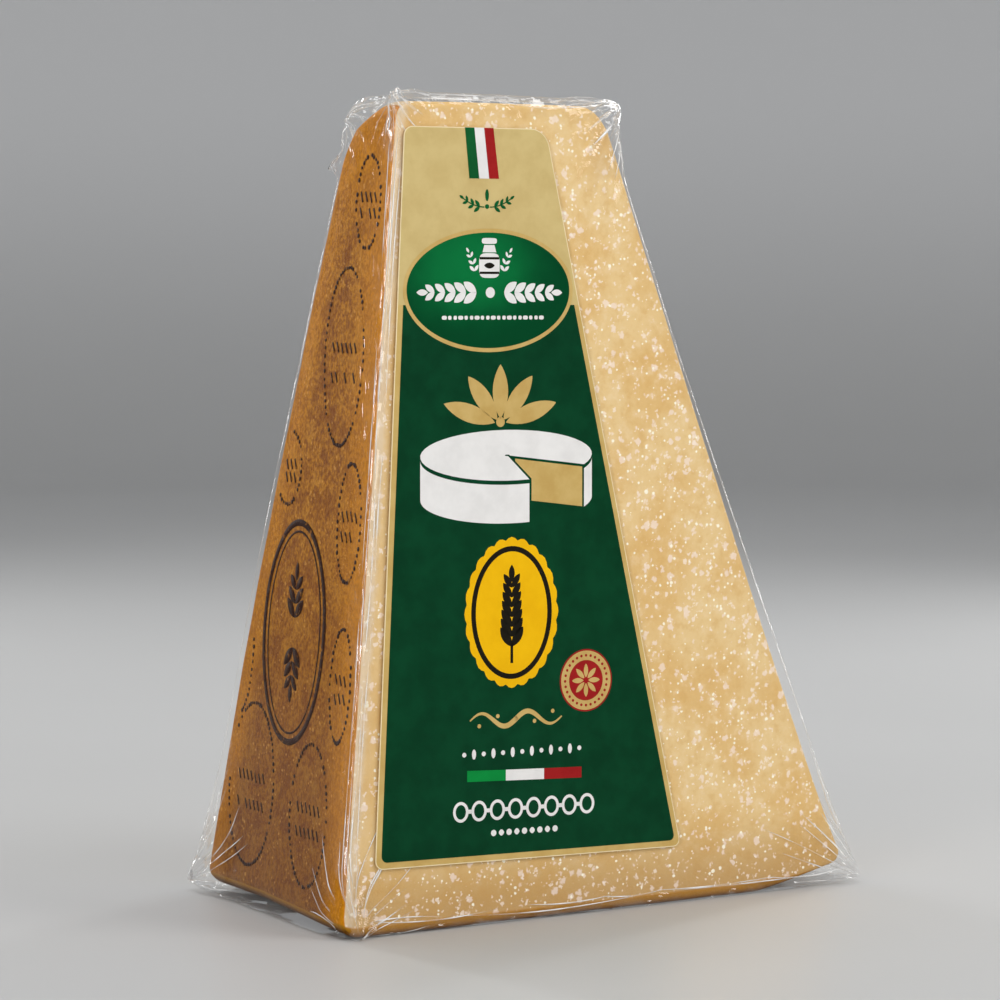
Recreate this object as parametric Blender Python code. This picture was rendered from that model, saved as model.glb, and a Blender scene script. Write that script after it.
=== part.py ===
"""A wedge of hard grating cheese, sealed in clear film, with its paper label.

Lengths are metres.  The wide cut face looks along -Y, +X runs to the right
along it and +Z is up.  The pack stands on the origin, the middle of its
footprint.  Two solids: the sealed bag, out to its film, and the label.
"""
import math

import bmesh
import bpy
from mathutils import Vector

# The cheese inside the film: a wedge that narrows towards its top.  Until it is
# placed, X starts at the back of the rind side's foot and Y at the cut face.
CHEESE_HEIGHT = 0.3070
BASE_WIDTH = 0.2255
TOP_WIDTH = 0.0920
LEFT_LEAN = 0.0156        # how far the rind side leans in at the top
LEFT_SPREAD = 0.0082      # and how far its front edge leans out at the foot
BASE_DEPTH = 0.1180
TOP_DEPTH = 0.0300
BACK_BULGE = 0.0070       # the back face is slightly convex over its height

# The film around it.
FILM_GAP = 0.0007
FOOT_RADIUS = 0.0018      # how tightly the film turns the edges at the foot
TOP_RADIUS = 0.0050       # and at the top
RIGHT_SLACK = 0.0063      # at the foot the film spans straight to the ears,
BACK_SLACK = 0.0075       # and it meets the cheese at this share of the height
SLACK_TOP = 0.68
LEFT_EAR_OUT = 0.0037     # ears of spare film at the foot reach past the cheese
RIGHT_EAR_OUT = 0.0066
FRONT_EAR_OUT = 0.0040
BACK_EAR_OUT = 0.0103
CREST_RISE = 0.0060       # the film stands up along the top front edge
LEFT_CREST_RISE = 0.0018  # and along the top of the rind side
CREST_SPREAD = 0.0100
PLEATS = 7                # folds that fan out from each ear
PLEAT_DEPTH = 0.0011
EAR_SHARPNESS = 1.7

# The footprint out to the film, centred on the origin.
LEFT_OUT = 0.0076         # the film at the front of the rind side's foot
PACK_WIDTH = LEFT_OUT + BASE_WIDTH + RIGHT_EAR_OUT
PACK_DEPTH = FRONT_EAR_OUT + BASE_DEPTH + BACK_EAR_OUT
CORNER_X = LEFT_OUT - PACK_WIDTH / 2
CORNER_Y = FRONT_EAR_OUT - PACK_DEPTH / 2

# Cells along the width, the depth and the height, closer towards the edges.
WIDTH_CELLS = 24
DEPTH_CELLS = 14
HEIGHT_CELLS = 28

# The label on the wide cut face: its corners, how far its foot drops towards
# the right, and how far each corner is rounded.
LABEL_TOP = 0.2975
LABEL_BOTTOM = 0.0237
LABEL_TOP_LEFT = 0.0190
LABEL_TOP_RIGHT = 0.0807
LABEL_BOTTOM_LEFT = 0.0060
LABEL_BOTTOM_RIGHT = 0.1434
LABEL_DROP = 0.0030
LABEL_CORNER = 0.0035
LABEL_TOP_RIGHT_CORNER = 0.0065
LABEL_THICKNESS = 0.0004
LABEL_GAP = 0.0003
LABEL_MARGIN = 0.0020     # the film stays flat this far around the label
CORNER_STEPS = 6


def blend(start, end, share):
    return start + (end - start) * share


def wedge_sides(height_share, depth_share=1.0):
    """Left, right and back of the cheese at a share of its height and depth."""
    left = LEFT_LEAN * height_share - LEFT_SPREAD * (1 - height_share) * (1 - depth_share)
    right = blend(BASE_WIDTH, LEFT_LEAN + TOP_WIDTH, height_share)
    bulge = BACK_BULGE * 4 * height_share * (1 - height_share)
    back = blend(BASE_DEPTH, TOP_DEPTH, height_share) + bulge
    return left, right, back


def film_point(across, inward, upward):
    """Where a point of the unit cube's skin lies on the tight film."""
    left, right, back = wedge_sides(upward, inward)
    slack = max(0.0, 1 - upward / SLACK_TOP)
    right += RIGHT_SLACK * slack
    back += BACK_SLACK * slack
    size = Vector((right - left + 2 * FILM_GAP, back + FILM_GAP, CHEESE_HEIGHT + FILM_GAP))
    flat = Vector((across * size.x, inward * size.y, upward * size.z))
    radius = blend(FOOT_RADIUS, TOP_RADIUS, upward ** 0.5)
    core = Vector([min(max(value, radius), full - radius) for value, full in zip(flat, size)])
    outward = flat - core
    if outward.length > 0:
        flat = core + outward.normalized() * radius
    return flat + Vector((left - FILM_GAP, 0, 0))


def ears():
    """Each corner of the pack: cube corner, tip of its spare film, reach."""
    right = BASE_WIDTH + RIGHT_EAR_OUT
    back = BASE_DEPTH + BACK_EAR_OUT
    top = CHEESE_HEIGHT
    top_right = LEFT_LEAN + TOP_WIDTH
    foot = Vector((0.018, 0.018, 0.030))
    long_foot = Vector((0.030, 0.034, 0.085))
    crown = Vector((0.013, 0.013, 0.014))
    long_crown = Vector((0.013, 0.013, 0.030))
    hanging_crown = Vector((0.016, 0.013, 0.060))
    return [
        ((0, 0, 0), Vector((-0.0020, -FRONT_EAR_OUT, 0.0005)), foot),
        ((1, 0, 0), Vector((right, -0.0010, 0.0030)), long_foot),
        ((0, 1, 0), Vector((-LEFT_EAR_OUT, back, 0.0045)), long_foot),
        ((1, 1, 0), Vector((right - 0.0015, back - 0.0020, 0.0040)), long_foot),
        ((0, 0, 1), Vector((LEFT_LEAN - 0.0010, 0.0006, top - 0.0015)), crown),
        ((1, 0, 1), Vector((top_right + 0.0068, 0.0010, top - 0.0020)), hanging_crown),
        ((0, 1, 1), Vector((LEFT_LEAN - 0.0012, TOP_DEPTH + 0.0035, top - 0.0085)), long_crown),
        ((1, 1, 1), Vector((top_right + 0.0040, TOP_DEPTH + 0.0020, top - 0.0010)), long_crown),
    ]


def beside_label(point):
    """0 where the film backs the label, rising to 1 a little way beside it."""
    rise = (point.z - LABEL_BOTTOM) / (LABEL_TOP - LABEL_BOTTOM)
    left = blend(LABEL_BOTTOM_LEFT, LABEL_TOP_LEFT, rise)
    right = blend(LABEL_BOTTOM_RIGHT, LABEL_TOP_RIGHT, rise)
    away = max(left - point.x, point.x - right, LABEL_BOTTOM - point.z, point.z - LABEL_TOP)
    return min(max(away / LABEL_MARGIN - 1, 0), 1)


def pulled(point, outward):
    """Move a film point out towards the ears' tips, with folds around them."""
    moved = point.copy()
    for corner, tip, reach in ears():
        root = film_point(*corner)
        away = point - root
        distance = Vector([away[i] / reach[i] for i in range(3)]).length
        if distance >= 1:
            continue
        share = (1 - distance) ** EAR_SHARPNESS
        moved += (tip - root) * Vector((share, share, share ** 2))
        turn = math.atan2(away.z, math.hypot(away.x, away.y))
        swell = 4 * distance * (1 - distance)
        moved += outward * PLEAT_DEPTH * swell * math.sin(2 * PLEATS * turn)
    if outward.y < 0:
        moved = point.lerp(moved, beside_label(point))
    return moved


def crest(point):
    """How far the film stands up along the top's front and left edges."""
    below = CHEESE_HEIGHT + FILM_GAP - point.z
    front = max(0.0, 1 - math.hypot(below, point.y) / CREST_SPREAD)
    left = max(0.0, 1 - math.hypot(below, point.x - LEFT_LEAN) / CREST_SPREAD)
    along = min(max((point.x - LEFT_LEAN) / TOP_WIDTH, 0), 1)
    front_rise = CREST_RISE * front ** 2 * blend(1.0, 0.6, along)
    return max(front_rise, LEFT_CREST_RISE * left ** 2)


def within_footprint(point):
    """Keep the folds inside the box that the ears' tips span, off the floor."""
    x = min(max(point.x, -LEFT_OUT), BASE_WIDTH + RIGHT_EAR_OUT)
    y = min(max(point.y, -FRONT_EAR_OUT), BASE_DEPTH + BACK_EAR_OUT)
    return Vector((x, y, max(point.z, 0.0)))


def paint(obj, name, colour, roughness):
    """Give an object its own plain finish."""
    material = bpy.data.materials.new(name)
    material.use_nodes = True
    shader = material.node_tree.nodes["Principled BSDF"]
    shader.inputs["Base Color"].default_value = (*colour, 1.0)
    shader.inputs["Roughness"].default_value = roughness
    shader.inputs["Metallic"].default_value = 0.0
    obj.data.materials.append(material)


def add_object(name, mesh_maker):
    """Put a finished bmesh in the scene as one named object."""
    mesh = bpy.data.meshes.new(name)
    mesh_maker.to_mesh(mesh)
    mesh_maker.free()
    obj = bpy.data.objects.new(name, mesh)
    obj.location = (CORNER_X, CORNER_Y, 0)
    bpy.context.scene.collection.objects.link(obj)
    return obj


def graded(cells):
    """Cuts between 0 and 1 that lie closer together towards both ends."""
    return [0.5 - 0.5 * math.cos(math.pi * step / cells) for step in range(1, cells)]


def make_bag():
    """The sealed bag as one solid: a cut-up cube drawn onto the film's form."""
    bm = bmesh.new()
    bmesh.ops.create_cube(bm, size=1.0)
    bmesh.ops.translate(bm, vec=(0.5, 0.5, 0.5), verts=bm.verts)
    for axis, cells in enumerate((WIDTH_CELLS, DEPTH_CELLS, HEIGHT_CELLS)):
        normal = Vector((0, 0, 0))
        normal[axis] = 1
        for cut in graded(cells):
            everything = bm.verts[:] + bm.edges[:] + bm.faces[:]
            bmesh.ops.bisect_plane(bm, geom=everything, dist=1e-6, plane_co=normal * cut, plane_no=normal)
    bm.normal_update()
    skin = {vert: (vert.co.copy(), vert.normal.copy()) for vert in bm.verts}
    for vert, (place, outward) in skin.items():
        point = pulled(film_point(*place), outward)
        point.z += crest(point)
        vert.co = within_footprint(point)
    bmesh.ops.recalc_face_normals(bm, faces=bm.faces)
    bag = add_object("bag", bm)
    bag.data.shade_smooth()
    paint(bag, "clear film over cheese", (0.78, 0.60, 0.33), 0.25)
    return bag


def label_outline():
    """The label's outline in X and Z, each corner rounded by an arc."""
    corners = [
        (LABEL_BOTTOM_LEFT, LABEL_BOTTOM + LABEL_DROP / 2, LABEL_CORNER),
        (LABEL_BOTTOM_RIGHT, LABEL_BOTTOM - LABEL_DROP / 2, LABEL_CORNER),
        (LABEL_TOP_RIGHT, LABEL_TOP, LABEL_TOP_RIGHT_CORNER),
        (LABEL_TOP_LEFT, LABEL_TOP, LABEL_CORNER),
    ]
    outline = []
    for index, (x, z, radius) in enumerate(corners):
        here = Vector((x, z))
        to_last = (Vector(corners[index - 1][:2]) - here).normalized()
        to_next = (Vector(corners[(index + 1) % 4][:2]) - here).normalized()
        half_angle = to_last.angle(to_next) / 2
        middle = (to_last + to_next).normalized()
        centre = here + middle * radius / math.sin(half_angle)
        start = here + to_last * radius / math.tan(half_angle) - centre
        first_angle = math.atan2(start.y, start.x)
        sweep = math.pi - 2 * half_angle
        for step in range(CORNER_STEPS + 1):
            angle = first_angle + sweep * step / CORNER_STEPS
            outline.append(centre + Vector((math.cos(angle), math.sin(angle))) * radius)
    return outline


def make_label():
    """The paper label, a thin plate just clear of the film."""
    bm = bmesh.new()
    front = -LABEL_GAP - LABEL_THICKNESS
    rim = [bm.verts.new((point.x, front, point.y)) for point in label_outline()]
    face = bm.faces.new(rim)
    extruded = bmesh.ops.extrude_face_region(bm, geom=[face])
    backs = [item for item in extruded["geom"] if isinstance(item, bmesh.types.BMVert)]
    bmesh.ops.translate(bm, vec=(0, LABEL_THICKNESS, 0), verts=backs)
    bmesh.ops.recalc_face_normals(bm, faces=bm.faces)
    label = add_object("label", bm)
    paint(label, "printed paper", (0.01, 0.07, 0.03), 0.35)
    return label


for old in list(bpy.data.objects):
    bpy.data.objects.remove(old, do_unlink=True)
make_bag()
make_label()
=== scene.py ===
import random
from math import atan2, ceil, copysign, cos, exp, floor, hypot, pi, radians, sin, sqrt

import bmesh
import bpy
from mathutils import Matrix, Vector, noise


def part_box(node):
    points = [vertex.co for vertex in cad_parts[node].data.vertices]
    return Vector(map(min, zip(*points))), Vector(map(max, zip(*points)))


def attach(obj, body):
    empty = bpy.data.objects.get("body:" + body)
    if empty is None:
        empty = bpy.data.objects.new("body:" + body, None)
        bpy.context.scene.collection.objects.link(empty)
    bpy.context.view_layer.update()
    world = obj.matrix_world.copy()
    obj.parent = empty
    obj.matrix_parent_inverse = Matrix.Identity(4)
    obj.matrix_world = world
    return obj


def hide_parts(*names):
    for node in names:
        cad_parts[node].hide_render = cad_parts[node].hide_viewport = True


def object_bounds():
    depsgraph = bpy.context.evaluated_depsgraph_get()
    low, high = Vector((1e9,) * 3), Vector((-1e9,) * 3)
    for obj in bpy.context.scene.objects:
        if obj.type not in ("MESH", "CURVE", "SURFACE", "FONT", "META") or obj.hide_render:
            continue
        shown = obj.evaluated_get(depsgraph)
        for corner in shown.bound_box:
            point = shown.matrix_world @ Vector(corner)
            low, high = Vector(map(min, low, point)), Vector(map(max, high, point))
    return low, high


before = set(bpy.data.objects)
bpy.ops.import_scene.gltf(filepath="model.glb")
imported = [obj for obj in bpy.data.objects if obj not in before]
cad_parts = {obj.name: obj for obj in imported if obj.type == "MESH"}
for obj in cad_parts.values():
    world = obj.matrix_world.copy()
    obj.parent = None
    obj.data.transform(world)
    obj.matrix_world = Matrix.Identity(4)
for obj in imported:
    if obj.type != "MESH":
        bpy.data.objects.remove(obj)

cad_low, cad_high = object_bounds()
MM = 0.001

# The cheese.  Until it is placed, X starts at the back of the rind side's foot
# and Y at the cut face.
CHEESE_HEIGHT = 0.3070
BASE_WIDTH = 0.2255
TOP_WIDTH = 0.0920
LEFT_LEAN = 0.0156        # of the rind side, at its top
LEFT_SPREAD = 0.0082      # how far it stands out at its front foot
BASE_DEPTH = 0.1180
TOP_DEPTH = 0.0300
BACK_BULGE = 0.0070
BACK_SLOPE = 0.287        # how fast the rind side narrows upwards
CHEESE_INSET = 0.0004     # how far the cut face lies behind the film
UNDERSIDE_RISE = 0.0095   # the underside curls up towards the right corner
UNDERSIDE_START = 0.81    # from this share of the width on
UNDERSIDE_BACK_RISE = 0.0028
BACK_FILL = 0.0040        # how far the cheese fills the film's slack at its back
RIND_DEPTH = 0.0042       # of the rind that shows along the foot
RIND_TAPER = (0.83, 0.97) # and runs out between these shares of the width
ROUGHNESS = 0.0005        # how deep the cheese's surface is uneven,
FRONT_ROUGHNESS = 0.0002  # and its cut face behind the label
CHEESE_SHINE = 0.1

# Marks in the rind, in millimetres from its lower front corner: ovals of small
# pricked dots, their centres and half sizes, and one larger burnt mark.
PRICKED_OVALS = [
    ((15, 270), (9, 17)), ((27, 213), (15, 33)), ((15, 152), (9, 22)), ((14, 92), (8, 21)),
    ((33, 41), (15, 27)), ((82, 46), (19, 32)), ((98, 98), (11, 26)), ((66, 170), (10, 14)),
]
DOT_PITCH = 2.1
DOT_RADIUS = 0.85
DASH_PITCH = 3.4
DASH_HALF = (0.9, 1.9)
DASH_ROWS = (-0.24, 0.10) # as shares of an oval's half height
BURNT_CENTRE = (54, 108)
BURNT_HALF = (26, 43)
MARK_THICKNESS = 0.00004

# How far each long edge of the cheese is worn round.
EDGE_RADII = {
    "left top": 0.007, "right top": 0.010, "right foot": 0.007, "left foot": 0.009,
    "front top": 0.003, "back top": 0.022, "front foot": 0.0022, "back foot": 0.005,
    "front left": 0.0028, "front right": 0.0042, "back left": 0.0030, "back right": 0.006,
}

# The film around it.
FILM_GAP = 0.0007
FOOT_RADIUS = 0.0018
TOP_RADIUS = 0.0050
RIGHT_SLACK = 0.0063      # how far it stands off the cheese at its foot
BACK_SLACK = 0.0075
SLACK_TOP = 0.68          # up to this share of the height
LEFT_OUT = 0.0076         # the pack's reach left of the cheese's back foot
LEFT_EAR_OUT = 0.0037
RIGHT_EAR_OUT = 0.0066
FRONT_EAR_OUT = 0.0040
BACK_EAR_OUT = 0.0103
CREST_RISE = 0.0060
LEFT_CREST_RISE = 0.0018
CREST_SPREAD = 0.0100
PLEATS = 7
PLEAT_DEPTH = 0.0011
EAR_SHARPNESS = 1.7
CRINKLE_DEPTH = 0.00055   # of the folds along the film's edges
CRINKLE_REACH = 0.0065    # how far they run in from the edges
FOLD_STRETCH = 0.30       # folds beside an edge run along it
FACET = 0.0060            # the width of the flat facets in loose film

# How loose the film is along its edges that run along X, along Y and along Z.
EDGE_LOOSENESS = [
    {"front top": 0.45, "front foot": 0.6, "back top": 0.6, "back foot": 0.6},
    {"left top": 0.8, "left foot": 0.4, "right top": 0.8, "right foot": 0.5},
    {"left front": 0.5, "right front": 0.2, "left back": 0.2, "right back": 0.4},
]

# Painted highlight lines along creases in the film: fans that run out from each corner
# of the pack, with how many run over its sides that look along X, Y and Z and how long
# they are, and lines along edges.
CREASE_FANS = {
    (0, 0, 0): ((5, 10, 0), 0.040), (1, 0, 0): ((7, 7, 0), 0.040),
    (0, 1, 0): ((6, 7, 0), 0.044), (1, 1, 0): ((6, 6, 0), 0.040),
    (0, 0, 1): ((6, 6, 7), 0.017), (1, 0, 1): ((7, 7, 7), 0.024),
    (0, 1, 1): ((5, 6, 6), 0.020), (1, 1, 1): ((5, 5, 5), 0.020),
}
# Each line: its corner, the axis that its side looks along, the axis that it runs
# along, and how far in from the edge its creases lie.
CREASE_LINES = [
    ((0, 0, 0), 1, 2, (0.0012, 0.0028, 0.0050)),
    ((1, 0, 0), 1, 2, (0.0004, 0.0020)),
    ((0, 1, 0), 0, 2, (0.0005, 0.0024)),
    ((0, 0, 0), 0, 2, (0.0012,)),
    ((0, 0, 0), 1, 0, (0.0050, 0.0060)),
    ((0, 0, 1), 1, 0, (0.0010, 0.0026)),
]
CREASE_WIDTH = 0.00034    # half the width of the widest
CREASE_THICKNESS = 0.00006
CREASE_STEPS = 18

# The label on the film.
LABEL_TOP = 0.2975
LABEL_BOTTOM = 0.0237
LABEL_TOP_LEFT = 0.0190
LABEL_TOP_RIGHT = 0.0807
LABEL_BOTTOM_LEFT = 0.0060
LABEL_BOTTOM_RIGHT = 0.1434
LABEL_DROP = 0.0030       # its foot drops towards the right
LABEL_CORNER = 0.0035
LABEL_TOP_RIGHT_CORNER = 0.0065
LABEL_EDGE = 0.35         # millimetres of bare paper that show around the print
LABEL_MARGIN = 0.0020
PAPER_THICKNESS = 0.00022
INK_THICKNESS = 0.00003
INK_SHINE = 0.06
CUT_PITCH = 0.0085        # of the grid that lets flat shapes follow a surface

label_low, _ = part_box("label")
CORNER = Vector((cad_low.x + LEFT_OUT, cad_low.y + FRONT_EAR_OUT, 0.0))
LABEL_FRONT = label_low.y - CORNER.y


# ---- numbers

def blend(start, end, share):
    return start + (end - start) * share


def clamped(value, low=0.0, high=1.0):
    return min(max(value, low), high)


def zigzag(turns):
    """A triangle wave between -1 and 1 with straight flanks."""
    return 4 * abs(turns - floor(turns + 0.5)) - 1


def around(x, z, half_width, half_height, count):
    """Places spread evenly round an oval, each with its angle."""
    turns = [2 * pi * index / count for index in range(count)]
    return [(x + half_width * cos(t), z + half_height * sin(t), t) for t in turns]


def linear(red, green, blue):
    """A display colour, 0 to 255, as the shader's linear colour."""
    shares = [level / 255 for level in (red, green, blue)]
    return (*[c / 12.92 if c <= 0.04045 else ((c + 0.055) / 1.055) ** 2.4 for c in shares], 1.0)


# ---- shaders

class Value:
    """A socket in a material's nodes; Python's operators on it add Math nodes."""

    def __init__(self, tree, socket=None):
        self.tree = tree
        self.socket = socket

    def node(self, kind, settings=None, values=None, output=0):
        made = self.tree.nodes.new("ShaderNode" + kind)
        for name, setting in (settings or {}).items():
            setattr(made, name, setting)
        for name, value in (values or {}).items():
            if isinstance(value, Value):
                self.tree.links.new(value.socket, made.inputs[name])
            else:
                made.inputs[name].default_value = value
        return Value(self.tree, made.outputs[output])

    def other(self, output):
        """Another output of the node that this value comes from."""
        return Value(self.tree, self.socket.node.outputs[output])

    def math(self, operation, first, second):
        return self.node("Math", {"operation": operation}, {0: first, 1: second})

    def __add__(self, other):
        return self.math("ADD", self, other)

    __radd__ = __add__

    def __sub__(self, other):
        return self.math("SUBTRACT", self, other)

    def __rsub__(self, other):
        return self.math("SUBTRACT", other, self)

    def __mul__(self, other):
        return self.math("MULTIPLY", self, other)

    def __truediv__(self, other):
        return self.math("DIVIDE", self, other)

    def __pow__(self, other):
        return self.math("POWER", self, other)

    def most(self, other):
        return self.math("MAXIMUM", self, other)

    def least(self, other):
        return self.math("MINIMUM", self, other)

    def ramp(self, start, end):
        """0 before start, 1 after end, eased between; start may be the larger."""
        settings = {"interpolation_type": "SMOOTHSTEP"}
        return self.node("MapRange", settings, {"Value": self, "From Min": start, "From Max": end})

    def mixed(self, low, high):
        """The colour low where this value is 0 and high where it is 1."""
        return self.node("Mix", {"data_type": "RGBA"}, {0: self, 6: low, 7: high}, output=2)

    def scaled(self, factors):
        return self.node("VectorMath", {"operation": "MULTIPLY"}, {0: self, 1: factors})

    def shifted(self, offset):
        return self.node("VectorMath", {"operation": "ADD"}, {0: self, 1: offset})

    def clouds(self, grain, detail, roughness=0.5):
        """Soft noise with lumps of about grain, where this value is a place."""
        values = {"Vector": self, "Scale": 1 / grain, "Detail": detail, "Roughness": roughness}
        return self.node("TexNoise", None, values)

    def grains(self, grain):
        """The distance to points scattered about grain apart, where this value is a place."""
        return self.node("TexVoronoi", None, {"Vector": self, "Scale": 1 / grain})

    def axes(self):
        """The three numbers of a place or colour."""
        split = self.node("SeparateXYZ", None, {0: self})
        return [split.other(axis) for axis in range(3)]

    def known(self, name):
        """A number that the piece's points carry."""
        return self.node("Attribute", {"attribute_name": name}, None, output=2)


def new_material(name):
    """A material without nodes, and its empty value to build on."""
    material = bpy.data.materials.new(name)
    material.use_nodes = True
    material.node_tree.nodes.clear()
    return material, Value(material.node_tree)


def measured(start):
    """The place on the pack in millimetres from the cheese's lower left corner."""
    place = start.node("TexCoord", output=3).shifted(tuple(-CORNER))
    return place.scaled((1 / MM, 1 / MM, 1 / MM))


def finished(start, material, colour, roughness, relief=None, shine=0.5, **others):
    """Close a material with a Principled shader; relief is a height in millimetres."""
    sockets = {"Base Color": colour, "Roughness": roughness, "Specular IOR Level": shine, **others}
    if relief is not None:
        bump = {"Height": relief, "Distance": MM, "Strength": 1.0}
        sockets["Normal"] = start.node("Bump", None, bump)
    shader = start.node("BsdfPrincipled", None, sockets)
    output = start.tree.nodes.new("ShaderNodeOutputMaterial")
    start.tree.links.new(shader.socket, output.inputs["Surface"])
    return material


def specks(place, grain, share, radius, softness, crowd):
    """Specks of uneven size in a share of the cells about grain wide, more where crowd is high."""
    distance = place.grains(grain)
    chance = distance.other("Color").axes()[0]
    reach = (chance + crowd - (1 - share)).most(0.0) * (radius / share)
    return (reach - distance).ramp(0.0, softness)


def coated(colour, coats):
    """A colour under coats, each with its share of the look and its colour, 0 to 255."""
    for share, coat in coats:
        colour = share.mixed(colour, linear(*coat))
    return colour


def rind_colour(place):
    """Oiled, brown rind, more orange at its top and beside its front and back."""
    _, y, z = place.axes()
    streaked = place.scaled((1.0, 1.0, 0.85)).clouds(1.5, 2.0, 0.75)
    mottled = place.clouds(12.0, 3.0, 0.7)
    from_back = BASE_DEPTH / MM - z * BACK_SLOPE - y
    warm = y.ramp(28.0, 3.0).most(from_back.ramp(14.0, 0.0) * 0.6).most(z.ramp(245.0, 300.0))
    return coated(streaked.ramp(0.34, 0.68).mixed(linear(140, 78, 6), linear(198, 132, 28)), [
        (mottled.ramp(0.49, 0.66) * 0.6, (126, 66, 4)),
        (mottled.ramp(0.47, 0.32) * 0.4, (206, 144, 50)),
        (z.ramp(170.0, 0.0) * 0.55, (100, 52, 0)),
        (warm * 0.3 + warm * streaked * 0.6, (226, 146, 6)),
    ])


def cheese_material():
    """Straw-coloured paste with white crystals, and oiled rind on two sides."""
    material, start = new_material("aged cheese")
    place = measured(start)
    left_gap, foot_gap, rim_gap = [start.known(name) for name in CHEESE_GAPS]

    # Cloudy paste: darker towards the foot, and deeper in colour along the right and
    # top edges and beside the rind, where a paler band, a painted highlight for the film's
    # glare along the front-left edge, lies over its crystals.
    broad = place.clouds(24.0, 0.0)
    patchy = place.clouds(6.5, 3.0, 0.65)
    over_foot = foot_gap + (patchy - 0.5) * 0.8
    # Darker paste over the lowest part of the cut face, towards the foot.
    foot_darkening = over_foot.ramp(38.0, RIND_DEPTH / MM)
    rim = (rim_gap + patchy * 5.0 - 2.5).ramp(7.0, 0.5)
    beside = left_gap.ramp(15.0, 8.0)
    # A paler band beside the rind side: a painted highlight standing in for the film's glare along
    # the front-left edge.
    band = (left_gap + patchy * 3.0).ramp(8.5, 5.0)

    # Its crystals: soft, pinkish ones of uneven shape in two sizes, and crisp dots.
    wobble = place.node("TexNoise", None, {"Vector": place, "Scale": 0.7, "Detail": 1.0}, output=1)
    uneven = place.shifted(wobble.scaled((2.6, 2.6, 2.6)))
    crowd = (patchy - 0.5) * -1.0
    large = specks(uneven, 3.8, 0.80, 0.50, 0.18, crowd)
    middle = specks(uneven.shifted((31.0, 7.0, 12.0)), 2.2, 0.70, 0.46, 0.14, crowd)
    small = specks(place.shifted((5.0, 3.0, 8.0)), 1.7, 0.36, 0.40, 0.10, crowd)
    paste = coated(broad.ramp(0.35, 0.68).mixed(linear(229, 198, 143), linear(222, 184, 122)), [
        (patchy.ramp(0.5, 0.70) * 0.4, (211, 165, 96)),
        (patchy.ramp(0.50, 0.34) * 0.4, (237, 212, 170)),
        (foot_darkening * 0.8, (186, 144, 84)),
        (rim * 0.5, (222, 184, 120)),
        (beside * 0.45, (214, 176, 118)),
        (large * 0.6, (248, 230, 220)),
        (middle * 0.65, (250, 234, 220)),
        (small * 0.9, (255, 248, 228)),
        (band * 0.5, (228, 212, 190)),
    ])

    # Rind: the left side, and a strip along the foot that follows the underside.
    foot = over_foot.ramp(RIND_DEPTH / MM + 0.6, RIND_DEPTH / MM - 0.6)
    side = (left_gap + (patchy - 0.5) * 0.4).ramp(1.1, 0.6)
    rind = (small * 0.5).mixed(rind_colour(place), linear(228, 168, 80))
    strip = over_foot.ramp(0.0, 4.6).mixed(linear(106, 64, 4), linear(174, 122, 28))
    rind = foot.mixed(rind, strip)

    covered = foot.most(side)
    colour, roughness = covered.mixed(paste, rind), 0.58 - covered * 0.06
    relief = place.clouds(1.6, 1.0, 0.6) * 0.22
    return finished(start, material, colour, roughness, relief, CHEESE_SHINE)


def mark_material():
    """Dark brown marks in the rind, partly worn away."""
    material, start = new_material("dark rind mark")
    place = measured(start)
    kept = place.clouds(2.6, 3.0, 0.7).ramp(0.74, 0.56)
    colour = kept.mixed(rind_colour(place), linear(50, 20, 4))
    return finished(start, material, colour, 0.6, shine=CHEESE_SHINE)


def film_material():
    """Clear film: see-through with a sharp shine, and in small facets where it is loose; their
    whitish haze is partly the film's own and partly painted sheen.
    """
    material, start = new_material("clear film")
    haze_and_sheen, relief = [start.known(name) for name in FILM_LAYERS]
    facing = start.node("LayerWeight", None, {"Blend": 0.5}, output=1)
    colour = (0.97, 0.975, 0.98, 1.0)
    # Hazy facets turn diffuse white: partly the film's own haze, partly painted sheen.
    metal = 1.0 - haze_and_sheen.least(1.0) * 0.7
    alpha = (0.007 + facing ** 6.0 * 0.9 + haze_and_sheen).least(1.0)
    return finished(start, material, colour, 0.07, relief, Metallic=metal, Alpha=alpha)


def crease_highlight_material():
    """A painted highlight: the bright line along a sharp fold in clear film."""
    material, start = new_material("bright film crease")
    colour, alpha = (0.97, 0.97, 0.96, 1.0), start.known(CREASE_HIGHLIGHT_LAYER)
    return finished(start, material, colour, 0.15, shine=0.6, Alpha=alpha)


def print_material(name, colour, second, roughness=0.36, metal=0.0):
    """One ink of the label: a slightly cloudy colour with a satin finish."""
    material, start = new_material(name)
    place = measured(start)
    clouds = place.clouds(11.0, 4.0, 0.6)
    cloudy = clouds.ramp(0.3, 0.7).mixed(linear(*colour), linear(*second))
    tooth = place.clouds(0.5, 2.0)
    roughness = roughness + tooth * 0.08
    return finished(start, material, cloudy, roughness, tooth * 0.012, INK_SHINE, Metallic=metal)


def badge_material():
    """The badge's green, brightest above its middle and darker to the lower right."""
    material, start = new_material("badge green ink")
    place = measured(start)
    x, _, z = place.axes()
    across = (x - 48.0) / 46.0
    upward = (z - 246.0) / 30.0
    glow = ((across * across + upward * upward) ** 0.5).ramp(1.0, 0.0)
    clouds = place.clouds(9.0, 3.0) - 0.5
    shade = (glow + clouds * 0.3).ramp(0.0, 1.0)
    colour = shade.mixed(linear(0, 66, 34), linear(6, 110, 56))
    return finished(start, material, colour, 0.34, clouds * 0.02, INK_SHINE)


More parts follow.
